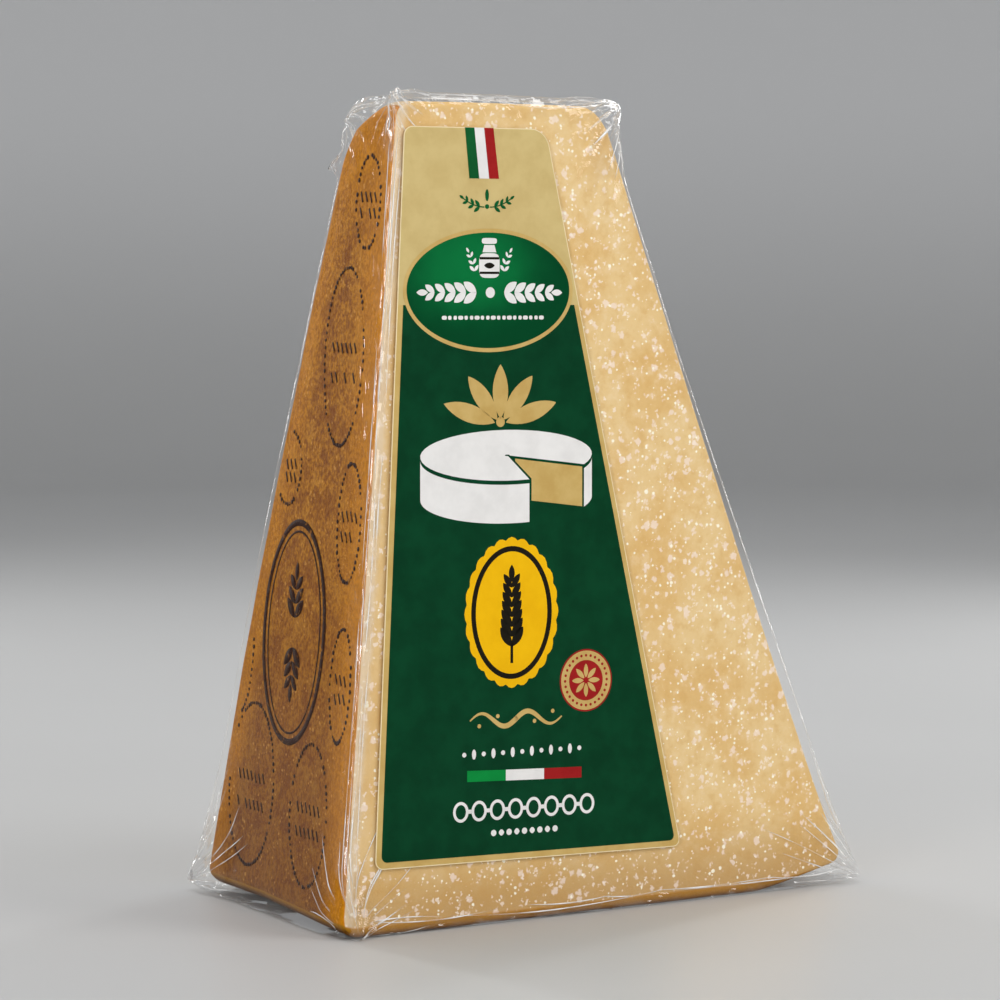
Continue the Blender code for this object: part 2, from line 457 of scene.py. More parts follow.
def floor_material():
    """A pale floor; its raised rim is paler, as less light reaches it."""
    material, start = new_material("pale studio floor")
    place = start.node("TexCoord", output=3)
    clouds = place.clouds(0.35, 3.0)
    level = clouds.mixed((0.50, 0.50, 0.495, 1.0), (0.53, 0.53, 0.525, 1.0))
    colour = place.axes()[2].ramp(0.0, 0.5).mixed(level, (0.80, 0.80, 0.80, 1.0))
    return finished(start, material, colour, 0.45)


# ---- pieces

def in_scene(name, data):
    """A new object in the scene."""
    made = bpy.data.objects.new(name, data)
    bpy.context.scene.collection.objects.link(made)
    return made


def meshed(name, bm, material, smooth=True):
    """A finished bmesh as an object in the scene."""
    mesh = bpy.data.meshes.new(name)
    bm.to_mesh(mesh)
    bm.free()
    if smooth:
        mesh.shade_smooth()
    mesh.materials.append(material)
    return in_scene(name, mesh)


def add_piece(name, bm, material, smooth=True):
    """A finished bmesh, turned face outwards, as a piece that rides with the pack."""
    bmesh.ops.recalc_face_normals(bm, faces=bm.faces)
    bmesh.ops.translate(bm, vec=CORNER, verts=bm.verts)
    piece = meshed(name, bm, material, smooth)
    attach(piece, "root")
    return piece


def raised(bm, faces, shift):
    """Give flat faces a thickness, with their copies moved by shift."""
    extruded = bmesh.ops.extrude_face_region(bm, geom=faces)
    fronts = [item for item in extruded["geom"] if isinstance(item, bmesh.types.BMVert)]
    bmesh.ops.translate(bm, vec=shift, verts=fronts)


def fine_block(cells):
    """A unit cube's skin, cut into cells along each axis that crowd at its edges."""
    bm = bmesh.new()
    bmesh.ops.create_cube(bm, size=1.0)
    bmesh.ops.translate(bm, vec=(0.5, 0.5, 0.5), verts=bm.verts)
    for axis, count in enumerate(cells):
        along = [
            edge for edge in bm.edges if abs(edge.verts[0].co[axis] - edge.verts[1].co[axis]) > 0.5
        ]
        bmesh.ops.subdivide_edges(bm, edges=along, cuts=count - 1, use_grid_fill=True)
    bm.normal_update()
    for vert in bm.verts:
        crowded = [0.5 - 0.5 * cos(pi * share) for share in vert.co]
        vert.co = vert.co.lerp(Vector(crowded), 0.75)
    return bm


def wedge_sides(height_share, depth_share=1.0):
    """Left, right and back of the cheese at a share of its height and depth."""
    left = LEFT_LEAN * height_share - LEFT_SPREAD * (1 - height_share) * (1 - depth_share)
    right = blend(BASE_WIDTH, LEFT_LEAN + TOP_WIDTH, height_share)
    bulge = BACK_BULGE * 4 * height_share * (1 - height_share)
    back = blend(BASE_DEPTH, TOP_DEPTH, height_share) + bulge
    return left, right, back


def gaps_to_sides(across, inward, upward, width, depth):
    """How far a point of the unit cube's skin lies from each side of a wedge."""
    return {
        "left": across * width, "right": (1 - across) * width,
        "front": inward * depth, "back": (1 - inward) * depth,
        "foot": upward * CHEESE_HEIGHT, "top": (1 - upward) * CHEESE_HEIGHT,
    }


# ---- cheese

def worn(first, second, radius):
    """How far a point that is near two faces moves in from each, for a round edge."""
    if first >= radius or second >= radius:
        return 0.0, 0.0
    s = 1 - first / radius
    t = 1 - second / radius
    return radius * (s - s * sqrt(1 - t * t / 2)), radius * (t - t * sqrt(1 - s * s / 2))


def cheese_point(across, inward, upward):
    """Where a point of the unit cube's skin lies on the cheese."""
    left, right, back = wedge_sides(upward, inward)
    depth = back + BACK_FILL * max(0.0, 1 - upward / SLACK_TOP) - CHEESE_INSET
    gaps = gaps_to_sides(across, inward, upward, right - left, depth)
    point = Vector((left + gaps["left"], CHEESE_INSET + gaps["front"], gaps["foot"]))
    towards = {
        "left": Vector((1, 0, 0)), "right": Vector((-1, 0, 0)),
        "front": Vector((0, 1, 0)), "back": Vector((0, -1, 0)),
        "foot": Vector((0, 0, 1)), "top": Vector((0, 0, -1)),
    }
    for edge, radius in EDGE_RADII.items():
        first, second = edge.split()
        shift, other_shift = worn(gaps[first], gaps[second], radius)
        point += towards[first] * shift + towards[second] * other_shift
    curl = clamped((across - UNDERSIDE_START) / (1 - UNDERSIDE_START)) ** 1.15
    lift = UNDERSIDE_RISE * curl + UNDERSIDE_BACK_RISE * clamped(inward / 0.6) ** 1.3
    point.z += lift * (1 - upward) ** 6
    return point


def unevenness(point, rough):
    """How far in from its plain shape the cheese's surface lies at a point."""
    broad = noise.noise(point / 0.030) * 0.5 + 0.5
    grain = noise.noise(point / 0.004) * 0.5 + 0.5
    return rough * broad + 0.0001 * grain


# What each point of the cheese knows: its distance in millimetres from the rind
# side, from the underside, and from the nearer of the right and top edges.
CHEESE_GAPS = ("left_gap", "foot_gap", "rim_gap")


def make_cheese():
    bm = fine_block((112, 60, 144))
    layers = [bm.verts.layers.float.new(name) for name in CHEESE_GAPS]
    for vert in bm.verts:
        outward = vert.normal.copy()
        left, right, _ = wedge_sides(vert.co.z, vert.co.y)
        to_right, to_top = (1 - vert.co.x) * (right - left), (1 - vert.co.z) * CHEESE_HEIGHT
        tapered = clamped((vert.co.x - RIND_TAPER[0]) / (RIND_TAPER[1] - RIND_TAPER[0]))
        to_foot = vert.co.z * CHEESE_HEIGHT + RIND_DEPTH * 1.2 * tapered
        for layer, gap in zip(layers, (vert.co.x * (right - left), to_foot, min(to_right, to_top))):
            vert[layer] = gap / MM
        point = cheese_point(*vert.co)
        rough = FRONT_ROUGHNESS if outward.y < -0.5 else ROUGHNESS
        vert.co = point - outward * unevenness(point, rough)
    add_piece("cheese", bm, cheese_material())


# ---- film

def film_point(across, inward, upward):
    """Where a point of the unit cube's skin lies on the tight film."""
    left, right, back = wedge_sides(upward, inward)
    slack = max(0.0, 1 - upward / SLACK_TOP)
    right += RIGHT_SLACK * slack
    back += BACK_SLACK * slack
    size = Vector((right - left + 2 * FILM_GAP, back + FILM_GAP, CHEESE_HEIGHT + FILM_GAP))
    flat = Vector((across * size.x, inward * size.y, upward * size.z))
    radius = blend(FOOT_RADIUS, TOP_RADIUS, upward ** 0.5)
    core = Vector([clamped(value, radius, full - radius) for value, full in zip(flat, size)])
    outward = flat - core
    if outward.length > 0:
        flat = core + outward.normalized() * radius
    return flat + Vector((left - FILM_GAP, 0, 0))


def ears():
    """Each corner of the pack: where its tight film ends, its ear's tip, and the reach."""
    right = BASE_WIDTH + RIGHT_EAR_OUT
    back = BASE_DEPTH + BACK_EAR_OUT
    top = CHEESE_HEIGHT
    top_right = LEFT_LEAN + TOP_WIDTH
    foot, long_foot = (0.018, 0.018, 0.030), (0.030, 0.034, 0.085)
    crown, long_crown = (0.013, 0.013, 0.014), (0.013, 0.013, 0.030)
    hanging_crown = (0.016, 0.013, 0.060)
    corners = [
        ((0, 0, 0), (-0.0020, -FRONT_EAR_OUT, 0.0005), foot),
        ((1, 0, 0), (right, -0.0010, 0.0030), long_foot),
        ((0, 1, 0), (-LEFT_EAR_OUT, back, 0.0045), long_foot),
        ((1, 1, 0), (right - 0.0015, back - 0.0020, 0.0040), long_foot),
        ((0, 0, 1), (LEFT_LEAN - 0.0010, 0.0006, top - 0.0015), crown),
        ((1, 0, 1), (top_right + 0.0068, 0.0010, top - 0.0020), hanging_crown),
        ((0, 1, 1), (LEFT_LEAN - 0.0012, TOP_DEPTH + 0.0035, top - 0.0085), long_crown),
        ((1, 1, 1), (top_right + 0.0040, TOP_DEPTH + 0.0020, top - 0.0010), long_crown),
        # A small tuft below the top, at the back of the rind side.
        ((0, 1, 0.925), (0.0100, 0.0405, 0.2820), (0.006, 0.006, 0.006)),
    ]
    return [(film_point(*corner), Vector(tip), Vector(reach)) for corner, tip, reach in corners]


def label_sides(height):
    """Left and right of the label at a height."""
    rise = (height - LABEL_BOTTOM) / (LABEL_TOP - LABEL_BOTTOM)
    left = blend(LABEL_BOTTOM_LEFT, LABEL_TOP_LEFT, rise)
    return left, blend(LABEL_BOTTOM_RIGHT, LABEL_TOP_RIGHT, rise)


def beside_label(point):
    """0 where the film backs the label, rising to 1 a little way beside it."""
    left, right = label_sides(point.z)
    away = max(left - point.x, point.x - right, LABEL_BOTTOM - point.z, point.z - LABEL_TOP)
    return clamped(away / LABEL_MARGIN - 1)


def crest(point):
    """How far the film stands up along the top's front and left edges."""
    below = CHEESE_HEIGHT + FILM_GAP - point.z
    front = max(0.0, 1 - hypot(below, point.y) / CREST_SPREAD)
    left = max(0.0, 1 - hypot(below, point.x - LEFT_LEAN) / CREST_SPREAD)
    along = clamped((point.x - LEFT_LEAN) / TOP_WIDTH)
    front_rise = CREST_RISE * front ** 2 * blend(1.0, 0.6, along)
    return max(front_rise, LEFT_CREST_RISE * left ** 2)


def make_crumple():
    """Straight folds that run every way: their directions, lengths and shares."""
    chance = random.Random(11)
    folds = []
    for length in (0.0060, 0.0075, 0.0090, 0.0115, 0.0145, 0.0190):
        direction = Vector([chance.uniform(-1, 1) for _ in range(3)]).normalized()
        folds.append((direction / length, chance.random(), length / 0.019))
    return folds


def crumpled(point, folds):
    """The height of crumpled film at a point, about -1 to 1."""
    warp = noise.noise(point / 0.025) * 0.8
    total = sum(share * zigzag(point.dot(wave) + phase + warp) for wave, phase, share in folds)
    return total / 2.2


def film_folds(place, point, folds, ear_share):
    """The film's looseness, 0 where it lies tight to 1, and the height of its folds there."""
    left, right, back = wedge_sides(place.z, place.y)
    gaps = gaps_to_sides(*place, right - left, back)
    near = {side: exp(-gap / CRINKLE_REACH) for side, gap in gaps.items()}
    loose, height = ear_share ** 1.8, 1.6 * ear_share * crumpled(point, folds)
    for axis, edges in enumerate(EDGE_LOOSENESS):
        stretched = point.copy()
        stretched[axis] *= FOLD_STRETCH
        share = max(edges[edge] * near[edge.split()[0]] * near[edge.split()[1]] for edge in edges)
        height += share * (1 - ear_share) * crumpled(stretched, folds)
        loose = max(loose, share)
    return clamped(loose), height


# What each point of the film knows: how hazy it is, partly its own haze and partly
# painted sheen, and the height in millimetres of the small flat facets that it lies in.
FILM_LAYERS = ("haze_and_sheen", "facet_height")


def facet(point, loose):
    """How hazy loose film is at a point, partly real haze and partly painted sheen, and the height
    of its flat facet there.
    """
    stretched = Vector((point.x, point.y, point.z * 0.5)) / FACET
    middle = noise.voronoi(stretched)[1][0]
    turned = noise.cell_vector(middle * 97.0)
    milky_sheen = clamped(turned.y) ** 4 * loose
    slope = (stretched - middle).dot(turned - Vector((0.5, 0.5, 0.5)))
    return (milky_sheen * 0.85 + 0.12) * loose, slope * loose * 0.8 * FACET / MM


def film_skin(place, outward, folds, pack_ears):
    """Where a point of the unit cube's skin lies on the creased film, and its looseness there."""
    point = film_point(*place)
    moved = point.copy()
    ear_share = 0.0
    for root, tip, reach in pack_ears:
        away = point - root
        distance = Vector([away[i] / reach[i] for i in range(3)]).length
        if distance >= 1:
            continue
        share = (1 - distance) ** EAR_SHARPNESS
        ear_share = max(ear_share, 1 - distance)
        moved += (tip - root) * Vector((share, share, share ** 2))
        turn = atan2(away.z, hypot(away.x, away.y))
        fan = zigzag(PLEATS * turn / pi + 0.25)
        moved += outward * PLEAT_DEPTH * 4 * distance * (1 - distance) * fan
    loose, fold = film_folds(place, point, folds, ear_share)
    beside = beside_label(point) if outward.y < -0.5 else 1.0
    moved += outward * CRINKLE_DEPTH * (fold + 0.4 * loose)
    moved = point.lerp(moved, beside)
    moved.z += crest(point)
    moved.x = clamped(moved.x, -LEFT_OUT, BASE_WIDTH + RIGHT_EAR_OUT)
    moved.y = clamped(moved.y, -FRONT_EAR_OUT, BASE_DEPTH + BACK_EAR_OUT)
    moved.z = max(moved.z, 0.0)
    return moved, loose * beside


def make_film(folds, pack_ears):
    bm = fine_block((122, 64, 152))
    haze_and_sheen, relief = [bm.verts.layers.float.new(name) for name in FILM_LAYERS]
    for vert in bm.verts:
        vert.co, loose = film_skin(vert.co.copy(), vert.normal.copy(), folds, pack_ears)
        vert[haze_and_sheen], vert[relief] = facet(vert.co, loose)
    film = add_piece("film", bm, film_material())
    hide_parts("bag")


def in_from_corner(corner, offset):
    """The unit cube's place that lies offset, in metres, in from a corner of the pack."""
    upward = abs(corner[2] - offset[2] / CHEESE_HEIGHT)
    left, right, back = wedge_sides(upward)
    sizes = (right - left, back, CHEESE_HEIGHT)
    return Vector([clamped(abs(corner[axis] - offset[axis] / sizes[axis])) for axis in range(3)])


# What each point of a painted crease highlight knows: how bright it is.
CREASE_HIGHLIGHT_LAYER = "painted_highlight"


def add_crease_highlight(bm, corner, side, path, half_width, skin):
    """A ribbon of painted highlight on one side of the film, along a path of offsets in from a
    corner.

    Side is the axis that the pack's side looks along."""
    # How strongly each point of the ribbon shows its painted highlight.
    bright = bm.verts.layers.float[CREASE_HIGHLIGHT_LAYER]
    first, second = [axis for axis in range(3) if axis != side]
    outward = Vector()
    outward[side] = 1 if corner[side] else -1
    ribbon = bmesh.ops.create_grid(bm, x_segments=CREASE_STEPS, y_segments=1, size=0.5)["verts"]
    for vert in ribbon:
        share = vert.co.x + 0.5
        heading = (path(share + 0.01) - path(share)).normalized()
        aside = Vector()
        aside[first], aside[second] = -heading[second], heading[first]
        width = half_width * (0.25 + 0.75 * sin(pi * share))
        offset = path(share) + aside * 2 * vert.co.y * width
        vert.co, _ = skin(in_from_corner(corner, offset), outward)
        broken = noise.noise(path(share) / 0.009) * 1.6 + 0.5
        vert[bright] = (0.12 + 0.78 * clamped(broken)) * clamped(sin(pi * share)) ** 0.5
    faces = list(dict.fromkeys(face for vert in ribbon for face in vert.link_faces))
    raised(bm, faces, outward * CREASE_THICKNESS)


def bowed(start, end, bow):
    """A path from start to end that swings out by the offset bow."""
    return lambda share: start.lerp(end, share) + bow * sin(pi * share)


def add_crease_fan(bm, corner, side, count, length, skin, chance):
    """Painted highlight lines along creases that run out from a corner over one side of the film.
    """
    first, second = [axis for axis in range(3) if axis != side]
    for index in range(count):
        turn = radians(90 * (index + chance.uniform(0.15, 0.85)) / count)
        heading, bow = Vector(), Vector()
        heading[first], heading[second] = cos(turn), sin(turn)
        swing = chance.uniform(-0.05, 0.05) * length
        bow[first], bow[second] = -sin(turn) * swing, cos(turn) * swing
        heading.z *= 1.35
        start = heading * chance.uniform(0.0, 0.25) * length
        end = heading * chance.uniform(0.5, 1.0) * length
        end[first] += chance.uniform(0.0, 0.12) * length
        width = CREASE_WIDTH * chance.uniform(0.35, 1.0)
        add_crease_highlight(bm, corner, side, bowed(start, end, bow), width, skin)


def add_crease_line(bm, corner, side, along, gap, skin, chance):
    """A broken painted highlight line along a crease that runs beside one edge of the film, gap in
    from it.
    """
    full = CHEESE_HEIGHT if along == 2 else BASE_WIDTH
    aside = Vector()
    aside[3 - side - along] = gap
    low = chance.uniform(0.01, 0.08)
    while low < 0.94:
        high = min(low + chance.uniform(0.12, 0.40), 0.97)
        start, end, bow = aside.copy(), aside.copy(), aside * chance.uniform(-0.5, 0.5)
        start[along], end[along] = low * full, high * full
        add_crease_highlight(bm, corner, side, bowed(start, end, bow), CREASE_WIDTH * 0.7, skin)
        low = high + chance.uniform(-0.03, 0.06)


def make_crease_highlights(folds, pack_ears):
    """Painted highlight lines where the film is folded sharply."""
    chance = random.Random(23)
    bm = bmesh.new()
    bm.verts.layers.float.new(CREASE_HIGHLIGHT_LAYER)

    def skin(place, outward):
        return film_skin(place, outward, folds, pack_ears)

    for corner, (counts, length) in CREASE_FANS.items():
        for side, count in enumerate(counts):
            add_crease_fan(bm, corner, side, count, length, skin, chance)
    for corner, side, along, gaps in CREASE_LINES:
        for gap in gaps:
            add_crease_line(bm, corner, side, along, gap, skin, chance)
    add_piece("film_crease_highlights", bm, crease_highlight_material())


# ---- label

def label_wave(x, z):
    """How far the label stands off the film, for its gentle unevenness."""
    return 0.00008 * (1 + noise.noise(Vector((x / 0.045, 0.0, z / 0.060))))


def patch(bm, spot, columns=1):
    """A field whose places in millimetres on the label's plane spot gives for u and v."""
    for vert in bmesh.ops.create_grid(bm, x_segments=columns, y_segments=1, size=0.5)["verts"]:
        x, z = spot(vert.co.x + 0.5, vert.co.y + 0.5)
        vert.co = Vector((x * MM, 0, z * MM))


def quad(bm, lower_left, lower_right, upper_right, upper_left):
    """A four-cornered field."""
    low, high = (Vector(lower_left), Vector(lower_right)), (Vector(upper_left), Vector(upper_right))
    patch(bm, lambda u, v: low[0].lerp(low[1], u).lerp(high[0].lerp(high[1], u), v))


def sector(bm, x, z, half_width, half_height, start, end, least=0.03):
    """A filled part of an oval between two angles in degrees, from a least share of its radius."""
    def spot(u, v):
        turn, reach = radians(blend(start, end, u)), blend(least, 1.0, v)
        return x + cos(turn) * half_width * reach, z + sin(turn) * half_height * reach
    patch(bm, spot, 40)


def hanging_band(bm, x, z, half_width, half_height, drop, start, end):
    """A strip of even height that hangs from an oval's rim between two angles in degrees."""
    def spot(u, v):
        turn = radians(blend(start, end, u))
        return x + cos(turn) * half_width, z + sin(turn) * half_height - drop * v
    patch(bm, spot, 24)


def round_point(angle, half_width, half_height, turn, power, pinch):
    """A point on an oval's rim; a power above 2 squares it, a pinch points its ends."""
    c, s = cos(angle), sin(angle)
    x = copysign(abs(c) ** (2 / power), c) * half_width
    z = copysign(abs(s) ** (2 / power), s) * abs(s) ** pinch * half_height
    return x * cos(turn) - z * sin(turn), x * sin(turn) + z * cos(turn)


def oval(bm, x, z, half_width, half_height, turn=0.0, power=2.0, pinch=0.0, sides=40, scallops=0):
    """A filled oval, bar, leaf or scalloped disc in millimetres on the label's plane."""
    rim = bmesh.ops.create_circle(bm, cap_ends=True, segments=sides, radius=1.0)["verts"]
    for vert in rim:
        angle = atan2(vert.co.y, vert.co.x)
        across, upward = round_point(angle, half_width, half_height, turn, power, pinch)
        swell = 1 + 0.045 * abs(cos(scallops * angle / 2)) if scallops else 1.0
        vert.co = Vector(((x + across * swell) * MM, 0, (z + upward * swell) * MM))


def ring(bm, x, z, half_width, half_height, width, sides):
    """An oval band of even width."""
    loops = []
    for inset in (0.0, width):
        before = set(bm.edges)
        rim = bmesh.ops.create_circle(bm, cap_ends=False, segments=sides, radius=1.0)["verts"]
        for vert in rim:
            angle = atan2(vert.co.y, vert.co.x)
            across = cos(angle) * (half_width - inset)
            upward = sin(angle) * (half_height - inset)
            vert.co = Vector(((x + across) * MM, 0, (z + upward) * MM))
        loops += [edge for edge in bm.edges if edge not in before]
    bmesh.ops.bridge_loops(bm, edges=loops)


def stroke(bm, path, half_width, steps):
    """A line of ink along path, whose half width may change along it."""
    def spot(t, v):
        here, ahead = Vector(path(t)), Vector(path(t + 0.001))
        direction = (ahead - here).normalized()
        return here + Vector((-direction.y, direction.x)) * (2 * v - 1) * half_width(t)
    patch(bm, spot, steps)


def leaf_pairs(bm, path, pairs, length, width, spread):
    """Leaves in pairs along a stem, which shrink towards its tip."""
    for index in range(pairs):
        t = (index + 0.6) / (pairs + 0.3)
        here, ahead = Vector(path(t)), Vector(path(t + 0.001))
        heading = atan2((ahead - here).y, (ahead - here).x)
        scale = blend(1.0, 0.65, t)
        for side in (-1, 1):
            turn = heading + side * spread
            x = here.x + cos(turn) * length * scale
            z = here.y + sin(turn) * length * scale
            oval(bm, x, z, length * scale, width * scale, turn, pinch=0.8, sides=20)
    tip = Vector(path(1.0))
    heading = atan2(tip.y - path(0.99)[1], tip.x - path(0.99)[0])
    x, z = tip.x + cos(heading) * length * 0.6, tip.y + sin(heading) * length * 0.6
    oval(bm, x, z, length * 0.7, width * 0.7, heading, pinch=0.8, sides=20)


def inset_sides(height, inset):
    """Left and right of the label at a height in millimetres, moved in by inset."""
    left, right = label_sides(height * MM)
    return left / MM + inset, right / MM - inset * 0.9


def field(bm, bottom, top, inset, low_corner, high_corners):
    """The label's outline between two heights, moved in, with its corners rounded."""
    low, high = inset_sides(bottom, inset), inset_sides(top, inset)
    quad(bm, (low[0], bottom), (low[1], bottom), (high[1], top), (high[0], top))
    for corner, radius in (
        ((low[0], bottom), low_corner), ((low[1], bottom), low_corner),
        ((high[1], top), high_corners[1]), ((high[0], top), high_corners[0]),
    ):
        if radius <= 0:
            continue
        spot = Vector((corner[0] * MM, 0, corner[1] * MM))
        verts = [vert for vert in bm.verts if (vert.co - spot).length < 1e-6]
        bmesh.ops.bevel(
            bm, geom=verts, offset=radius * MM, offset_type="OFFSET", segments=8, profile=0.5,
            affect="VERTICES", material=-1,
        )


def cut_up(bm):
    """Cut flat shapes along a grid, so that they can follow a surface."""
    for axis, normal in ((0, Vector((1, 0, 0))), (2, Vector((0, 0, 1)))):
        spots = [vert.co[axis] for vert in bm.verts]
        for step in range(ceil(min(spots) / CUT_PITCH), ceil(max(spots) / CUT_PITCH)):
            everything = bm.verts[:] + bm.edges[:] + bm.faces[:]
            cut = normal * step * CUT_PITCH
            bmesh.ops.bisect_plane(bm, geom=everything, dist=1e-7, plane_co=cut, plane_no=normal)


def press(bm, level, thickness=INK_THICKNESS):
    """Turn flat shapes into thin plates that follow the label's drop and unevenness."""
    cut_up(bm)
    for vert in bm.verts:
        low_share = (LABEL_TOP - vert.co.z) / (LABEL_TOP - LABEL_BOTTOM)
        aside = (vert.co.x - LABEL_BOTTOM_LEFT) / (LABEL_BOTTOM_RIGHT - LABEL_BOTTOM_LEFT) - 0.5
        vert.co.z -= LABEL_DROP * aside * low_share
        vert.co.y = LABEL_FRONT + PAPER_THICKNESS - level - label_wave(vert.co.x, vert.co.z)
    raised(bm, bm.faces[:], (0, -thickness, 0))


def add_print(name, bm, layer, material):
    """One ink as a piece; its layer counts up from the paper."""
    press(bm, PAPER_THICKNESS + layer * INK_THICKNESS)
    add_piece(name, bm, material, smooth=False)


def rind_spot(depth, height):
    """The place just off the rind at a depth and height."""
    upward = height / CHEESE_HEIGHT
    inward = (depth - CHEESE_INSET) / (wedge_sides(upward)[2] - CHEESE_INSET)
    point = cheese_point(0.0, inward, upward)
    return point + Vector((unevenness(point, ROUGHNESS) - 2 * MARK_THICKNESS, 0, 0))


def on_rind(depth, height):
    """Whether a mark at a depth and height in millimetres is clear of the rind side's edges."""
    back = wedge_sides(height * MM / CHEESE_HEIGHT)[2] / MM
    return 2.5 < depth < back - 7


def make_rind_marks():
    """Ovals of dots pricked into the rind, with rows of dashes inside, and a burnt mark."""
    chance = random.Random(5)
    bm = bmesh.new()
    for (depth, height), (half_depth, half_height) in PRICKED_OVALS:
        dots = int(pi * (half_depth + half_height) / DOT_PITCH)
        for y, z, _ in around(depth, height, half_depth, half_height, dots):
            if on_rind(y, z) and chance.random() < 0.9:
                size = DOT_RADIUS * chance.uniform(0.7, 1.15)
                y += chance.uniform(-0.2, 0.2)
                z += chance.uniform(-0.2, 0.2)
                oval(bm, y, z, size, size, sides=8)
        dashes = int(1.25 * half_depth / DASH_PITCH)
        for row in DASH_ROWS:
            for index in range(dashes + 1):
                y = depth + (index - dashes / 2) * DASH_PITCH
                z = height + row * half_height + chance.uniform(-0.3, 0.3)
                if on_rind(y, z) and chance.random() < 0.93:
                    ends = [(y + way * DASH_HALF[0], z + way * DASH_HALF[1]) for way in (-1, 1)]
                    low, high = map(Vector, ends)
                    stroke(bm, lambda t: low.lerp(high, t), lambda t: 0.5, 3)
    depth, height = BURNT_CENTRE
    half_depth, half_height = BURNT_HALF
    ring(bm, depth, height, half_depth, half_height, 2.5, sides=72)
    ring(bm, depth, height, half_depth - 4.2, half_height - 4.2, 0.9, sides=72)
    for side in (-1, 1):
        foot, tip = height + side * 2.5, height + side * 20
        leaf_pairs(bm, lambda t: (depth, blend(foot, tip, t)), 3, 5.2, 2.3, 0.75)
    cut_up(bm)
    for vert in bm.verts:
        vert.co = rind_spot(vert.co.x, vert.co.z)
    raised(bm, bm.faces[:], (-MARK_THICKNESS, 0, 0))
    add_piece("rind_marks", bm, mark_material())


# The print, in millimetres on the label's plane from the cheese's corner.
FIELD_TOP = 232.0         # where the green field starts, behind the badge
BADGE = (55.5, 237.4)     # the badge's middle, its half sizes and its gold ring
BADGE_HALF = (37.2, 22.9)
BADGE_RING = 1.5
BORDER_WIDTH = 2.5        # from the paper's edge to the green field
WHEEL = (63.5, 176.0)    # the drawing of a cheese wheel: its top's middle and half sizes
WHEEL_HALF = (38.0, 9.5)
WHEEL_SIDE = 16.0
EMBLEM = (65.5, 117.0)
SEAL = (99.0, 90.0)


def make_label_paper():
    bm = bmesh.new()
    field(bm, LABEL_BOTTOM / MM, LABEL_TOP / MM, 0.0, LABEL_CORNER / MM,
          (LABEL_CORNER / MM, LABEL_TOP_RIGHT_CORNER / MM))
    press(bm, 0.0, PAPER_THICKNESS)
    paper = print_material("pale label paper", (240, 224, 184), (232, 214, 170), 0.42)
    piece = add_piece("label_paper", bm, paper, smooth=False)
    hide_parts("label")


def draw_cream_head(bm):
    """The cream head of the label, down behind the badge."""
    high_corners = (LABEL_CORNER / MM - LABEL_EDGE, LABEL_TOP_RIGHT_CORNER / MM - LABEL_EDGE)
    field(bm, FIELD_TOP, LABEL_TOP / MM - LABEL_EDGE, LABEL_EDGE, 0, high_corners)


def draw_gold_border(bm):
    corner = LABEL_CORNER / MM - LABEL_EDGE
    field(bm, LABEL_BOTTOM / MM + LABEL_EDGE, FIELD_TOP, LABEL_EDGE, corner, (0, 0))


def draw_gold(bm):
    """The badge's ring, a fan of leaves, the cheese wheel's cut, and a wavy line with dots."""
    ring(bm, *BADGE, *BADGE_HALF, BADGE_RING, sides=96)
    for degrees, length in ((18, 25.5), (52, 22.5), (90, 22.0), (128, 22.5), (162, 25.5)):
        turn = radians(degrees)
        x, z = 60.5 + cos(turn) * length * 0.56, 187.5 + sin(turn) * length * 0.56
        oval(bm, x, z, length * 0.46, 3.4, turn, pinch=0.8, sides=28)
    oval(bm, 60.5, 188.5, 1.9, 1.9, sides=24)
    x, z = WHEEL
    quad(bm, (x + 3.5, z - 2.2), (x + 10.8, z - 8.9), (x + 10.8, z - 2.2), (x + 3.5, z - 1.3))
    quad(bm, (x + 10.8, z - 17.2), (x + 33.6, z - 19.9), (x + 33.6, z - 4.9), (x + 10.8, z - 2.2))
    stroke(bm, lambda t: (47 + 41 * t, 77 + 2.6 * sin(4 * pi * t)),
           lambda t: 0.25 + 0.75 * sin(pi * clamped(t)), 48)
    for index in range(5):
        x = 47 + 41 * (index + 0.5) / 5
        oval(bm, x, 77 - 2.2 * sin(4 * pi * (index + 0.5) / 5), 0.8, 0.8, sides=16)


def draw_green_field(bm):
    field(bm, LABEL_BOTTOM / MM + BORDER_WIDTH, FIELD_TOP, BORDER_WIDTH, 2.6, (0, 0))


def draw_badge(bm):
    oval(bm, *BADGE, BADGE_HALF[0] - 0.8, BADGE_HALF[1] - 0.8, sides=96)


def draw_leaf_green(bm):
    """The ribbon's green third, and the sprigs on the cream head."""
    quad(bm, (46.9, 278.7), (51.2, 278.7), (49.1, 297.4), (45.0, 297.4))
    for side in (-1, 1):
        leaf_pairs(bm, lambda t: (54.6 + side * (1.6 + 8.6 * t), 268.2 + 3.0 * t * t),
                   3, 1.7, 0.75, 0.75)
        stroke(bm, lambda t: (54.6 + side * (1.2 + 9.0 * t), 268.2 + 3.0 * t * t),
               lambda t: 0.22, 12)
    oval(bm, 54.6, 268.4, 0.9, 0.9, sides=16)
    oval(bm, 54.6, 272.6, 0.8, 2.2, sides=20)


def draw_bar_green(bm):
    """The bar's green third."""
    quad(bm, (45.8, 54.2), (62.9, 53.8), (62.9, 57.9), (45.8, 58.4))


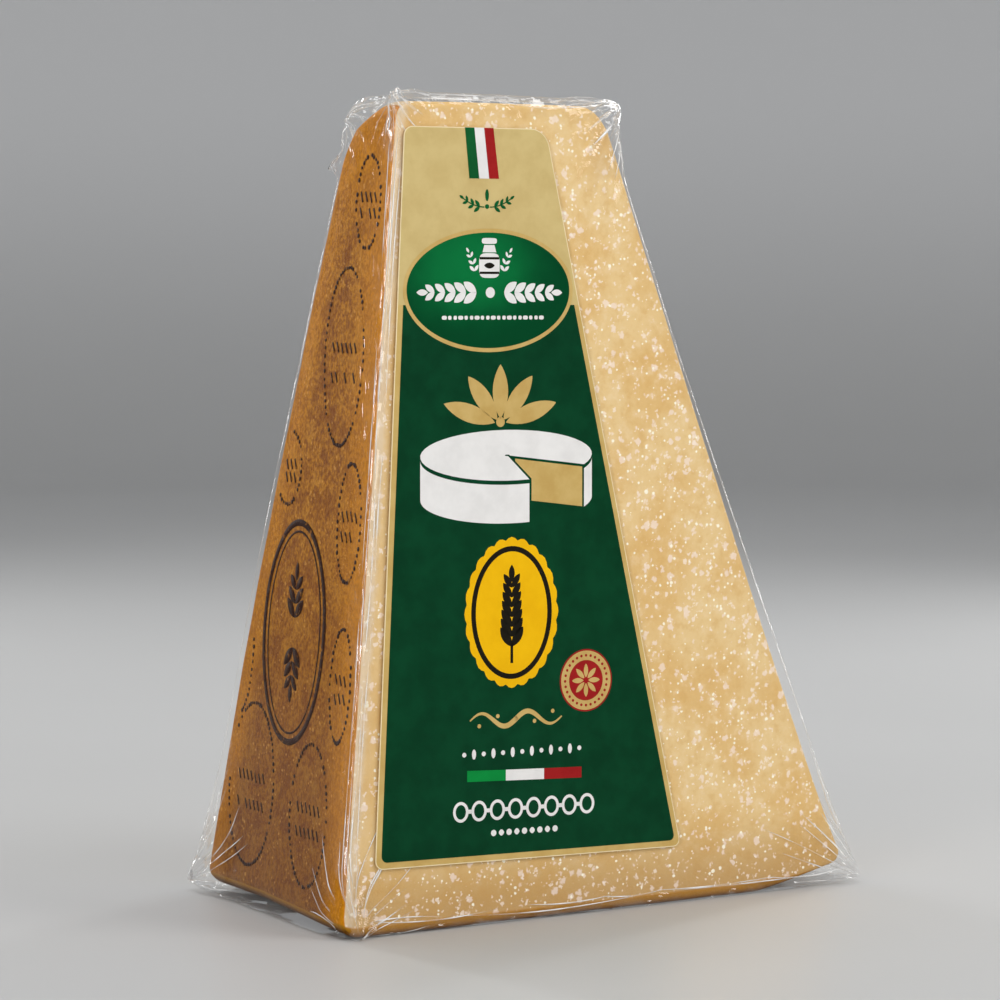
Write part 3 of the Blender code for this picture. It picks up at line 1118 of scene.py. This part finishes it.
def draw_white(bm):
    """The white thirds of ribbon and bar, and the white ornament."""
    quad(bm, (51.2, 278.7), (55.5, 278.7), (53.3, 297.4), (49.1, 297.4))
    quad(bm, (62.9, 53.8), (80.0, 53.4), (80.0, 57.5), (62.9, 57.9))
    # A milk churn between two sprigs, over a row of ears of grain.
    oval(bm, 55.6, 246.6, 4.5, 4.6, power=4, sides=32)
    quad(bm, (52.6, 251.5), (58.6, 251.5), (57.8, 254.2), (53.4, 254.2))
    oval(bm, 55.6, 255.7, 3.3, 1.1, power=4, sides=24)
    for side in (-1, 1):
        leaf_pairs(bm, lambda t: (55.6 + side * (6.4 + 2.6 * t * t), 243.0 + 8.5 * t),
                   3, 1.5, 0.7, 0.75)
        leaf_pairs(bm, lambda t: (56.0 + side * (3.4 + 24.0 * t), 236.6), 5, 3.5, 1.7, 0.62)
    oval(bm, 56.0, 236.6, 2.0, 2.0, sides=20)
    for index in range(19):
        wide = 0.75 if index % 3 else 1.1
        oval(bm, 36.0 + index * 42.6 / 18, 227.3, wide, 0.75, power=3, sides=12)
    draw_wheel(bm)
    # Rows of ornament at the foot.
    for index in range(13):
        tall = 1.9 if index % 2 else 0.9
        oval(bm, 44.5 + index * 51.5 / 12, 64.4, 0.9, tall, sides=16)
    for index in range(8):
        x = 43.0 + index * 56.5 / 7
        ring(bm, x, 43.0, 3.4, 3.9, 1.15, sides=28)
        if index < 7:
            oval(bm, x + 4.03, 43.0, 0.9, 0.75, power=5, sides=16)
    for index in range(9):
        oval(bm, 57.5 + index * 27.5 / 8, 34.3, 1.2, 1.2, pinch=0.6 if index % 2 else 0.0, sides=16)


def draw_wheel(bm):
    """The white parts of a cheese wheel that a wedge has been cut from."""
    x, z = WHEEL
    sector(bm, x, z, *WHEEL_HALF, -25, 285)
    for start, end in ((180, 285), (335, 360)):
        hanging_band(bm, x, z - 1.5, *WHEEL_HALF, WHEEL_SIDE - 1.5, start, end)


def draw_yellow(bm):
    """The scalloped disc of the emblem."""
    oval(bm, *EMBLEM, 20.0, 27.2, sides=96, scallops=24)


def draw_dark(bm):
    """The emblem's ring and ear of grain, and the churn's label."""
    ring(bm, *EMBLEM, 17.9, 25.0, 2.0, sides=72)
    leaf_pairs(bm, lambda t: (EMBLEM[0], EMBLEM[1] - 15.0 + 27.0 * t), 7, 4.6, 1.9, 0.60)
    stroke(bm, lambda t: (EMBLEM[0], EMBLEM[1] - 19.0 + 8.0 * t), lambda t: 0.6, 4)
    for level in (243.9, 249.3):
        low, high = level - 0.45, level + 0.45
        quad(bm, (51.3, low), (59.9, low), (59.9, high), (51.3, high))
    oval(bm, 55.6, 246.6, 2.3, 1.1, pinch=0.6, sides=20)


def draw_red(bm):
    """The red thirds of ribbon and bar, and the round seal's ground."""
    quad(bm, (55.5, 278.7), (59.8, 278.7), (57.4, 297.4), (53.3, 297.4))
    quad(bm, (80.0, 53.4), (97.0, 53.0), (97.0, 57.2), (80.0, 57.5))
    oval(bm, *SEAL, 11.9, 11.9, sides=64)


def draw_seal_gold(bm):
    """The seal's band, and a flower in its middle."""
    ring(bm, *SEAL, 11.3, 11.3, 3.6, sides=64)
    for x, z, turn in around(*SEAL, 3.7, 3.7, 8):
        oval(bm, x, z, 2.6, 1.0, turn, pinch=0.6, sides=16)


def draw_seal_red(bm):
    """The dots on the seal's band."""
    for x, z, _ in around(*SEAL, 9.5, 9.5, 28):
        oval(bm, x, z, 0.55, 0.55, sides=10)


def make_label():
    """The paper, and each ink over it: its name, layer, drawing and material."""
    make_label_paper()
    cream = print_material("cream ink", (206, 184, 126), (196, 172, 114), 0.42)
    gold = print_material("gold ink", (208, 178, 112), (196, 162, 94), 0.34, 0.15)
    red = print_material("red ink", (160, 32, 32), (146, 26, 28))
    field_green = print_material("field green ink", (6, 64, 37), (3, 54, 30), 0.33)
    leaf_green = print_material("leaf green ink", (16, 92, 46), (12, 82, 40))
    bright_green = print_material("bright green ink", (10, 140, 62), (8, 128, 56))
    white = print_material("white ink", (232, 230, 228), (222, 220, 218), 0.4)
    yellow = print_material("yellow ink", (240, 186, 14), (232, 176, 10))
    dark = print_material("dark ink", (30, 26, 18), (24, 22, 16))
    for name, layer, draw, material in (
        ("label_cream", 0, draw_cream_head, cream),
        ("label_gold_border", 0, draw_gold_border, gold),
        ("label_gold", 3, draw_gold, gold),
        ("label_green_field", 1, draw_green_field, field_green),
        ("label_badge", 2, draw_badge, badge_material()),
        ("label_leaf_green", 3, draw_leaf_green, leaf_green),
        ("label_bar_green", 3, draw_bar_green, bright_green),
        ("label_white", 3, draw_white, white),
        ("label_yellow", 3, draw_yellow, yellow),
        ("label_dark", 4, draw_dark, dark),
        ("label_red", 3, draw_red, red),
        ("label_seal_gold", 4, draw_seal_gold, gold),
        ("label_seal_red", 5, draw_seal_red, red),
    ):
        bm = bmesh.new()
        draw(bm)
        add_print(name, bm, layer, material)


# ---- studio

def make_floor():
    """A round pale floor that sweeps up into a low wall all round."""
    bm = bmesh.new()
    profile = [bm.verts.new((0, 0, 0))]
    radius, sweep, wall_top = 2.6, 0.9, 2.2
    for step in range(11):
        angle = pi / 2 * step / 10
        spot = (radius + sweep * sin(angle), 0, sweep * (1 - cos(angle)))
        profile.append(bm.verts.new(spot))
    profile.append(bm.verts.new((radius + sweep, 0, wall_top)))
    edges = [bm.edges.new(pair) for pair in zip(profile, profile[1:])]
    bmesh.ops.spin(
        bm, geom=profile + edges, cent=(0, 0, 0), axis=(0, 0, 1), angle=2 * pi, steps=96,
        use_merge=True,
    )
    bmesh.ops.remove_doubles(bm, verts=bm.verts, dist=1e-5)
    ground = meshed("studio_floor", bm, floor_material())


WARM, WHITE = (1.0, 0.99, 0.97), (1.0, 1.0, 1.0)
LIGHT_AIM = Vector((0, 0, 0.15))
# Each light: its name, place, width and height, watts and colour.
LIGHTS = [
    ("key", (0.95, -1.35, 1.35), (0.9, 0.9), 13.5, WARM),
    ("front", (-0.10, -1.75, 0.55), (0.7, 0.9), 6.5, WARM),
    ("fill", (-1.5, -0.9, 0.7), (0.8, 1.1), 6, WHITE),
    ("left_edge", (-0.25, 1.4, 0.7), (0.12, 1.2), 6, WHITE),
    ("right_edge", (1.25, 0.45, 0.60), (0.12, 1.2), 6, WHITE),
    ("low_edge", (-1.35, -0.88, 0.28), (0.14, 0.8), 4, WHITE),
    ("top", (0.0, 0.15, 1.7), (0.7, 0.7), 9, WHITE),
]


def make_lights():
    """Soft rectangular lights that face the wedge's middle, in an even pale sky."""
    for name, spot, size, watts, colour in LIGHTS:
        data = bpy.data.lights.new(name, "AREA")
        data.shape = "RECTANGLE"
        data.size, data.size_y = size
        data.energy = watts
        data.color = colour
        light = in_scene(name, data)
        light.location = spot
        light.rotation_euler = (LIGHT_AIM - Vector(spot)).to_track_quat("-Z", "Y").to_euler()
        light.visible_camera = False
    world = bpy.data.worlds.new("studio")
    world.use_nodes = True
    sky = world.node_tree.nodes["Background"]
    sky.inputs["Color"].default_value = (0.80, 0.82, 0.85, 1.0)
    sky.inputs["Strength"].default_value = 0.45
    bpy.context.scene.world = world


def make_camera():
    """A long lens that sees the cut face and the rind side, slightly from above."""
    data = bpy.data.cameras.new("camera")
    data.sensor_width = 36.0
    data.lens = 129.6
    camera = in_scene("camera", data)
    camera.location = (-0.77220, -1.19096, 0.24770)
    camera.rotation_euler = (radians(90 - 3.77), 0, radians(-32.56))
    bpy.context.scene.camera = camera


make_camera()
make_lights()
make_floor()
make_cheese()
make_rind_marks()
crumple = make_crumple()
corner_ears = ears()
make_film(crumple, corner_ears)
make_crease_highlights(crumple, corner_ears)
make_label()
bpy.context.scene.cycles.transparent_max_bounces = 32
bpy.context.scene.view_settings.view_transform = "Standard"
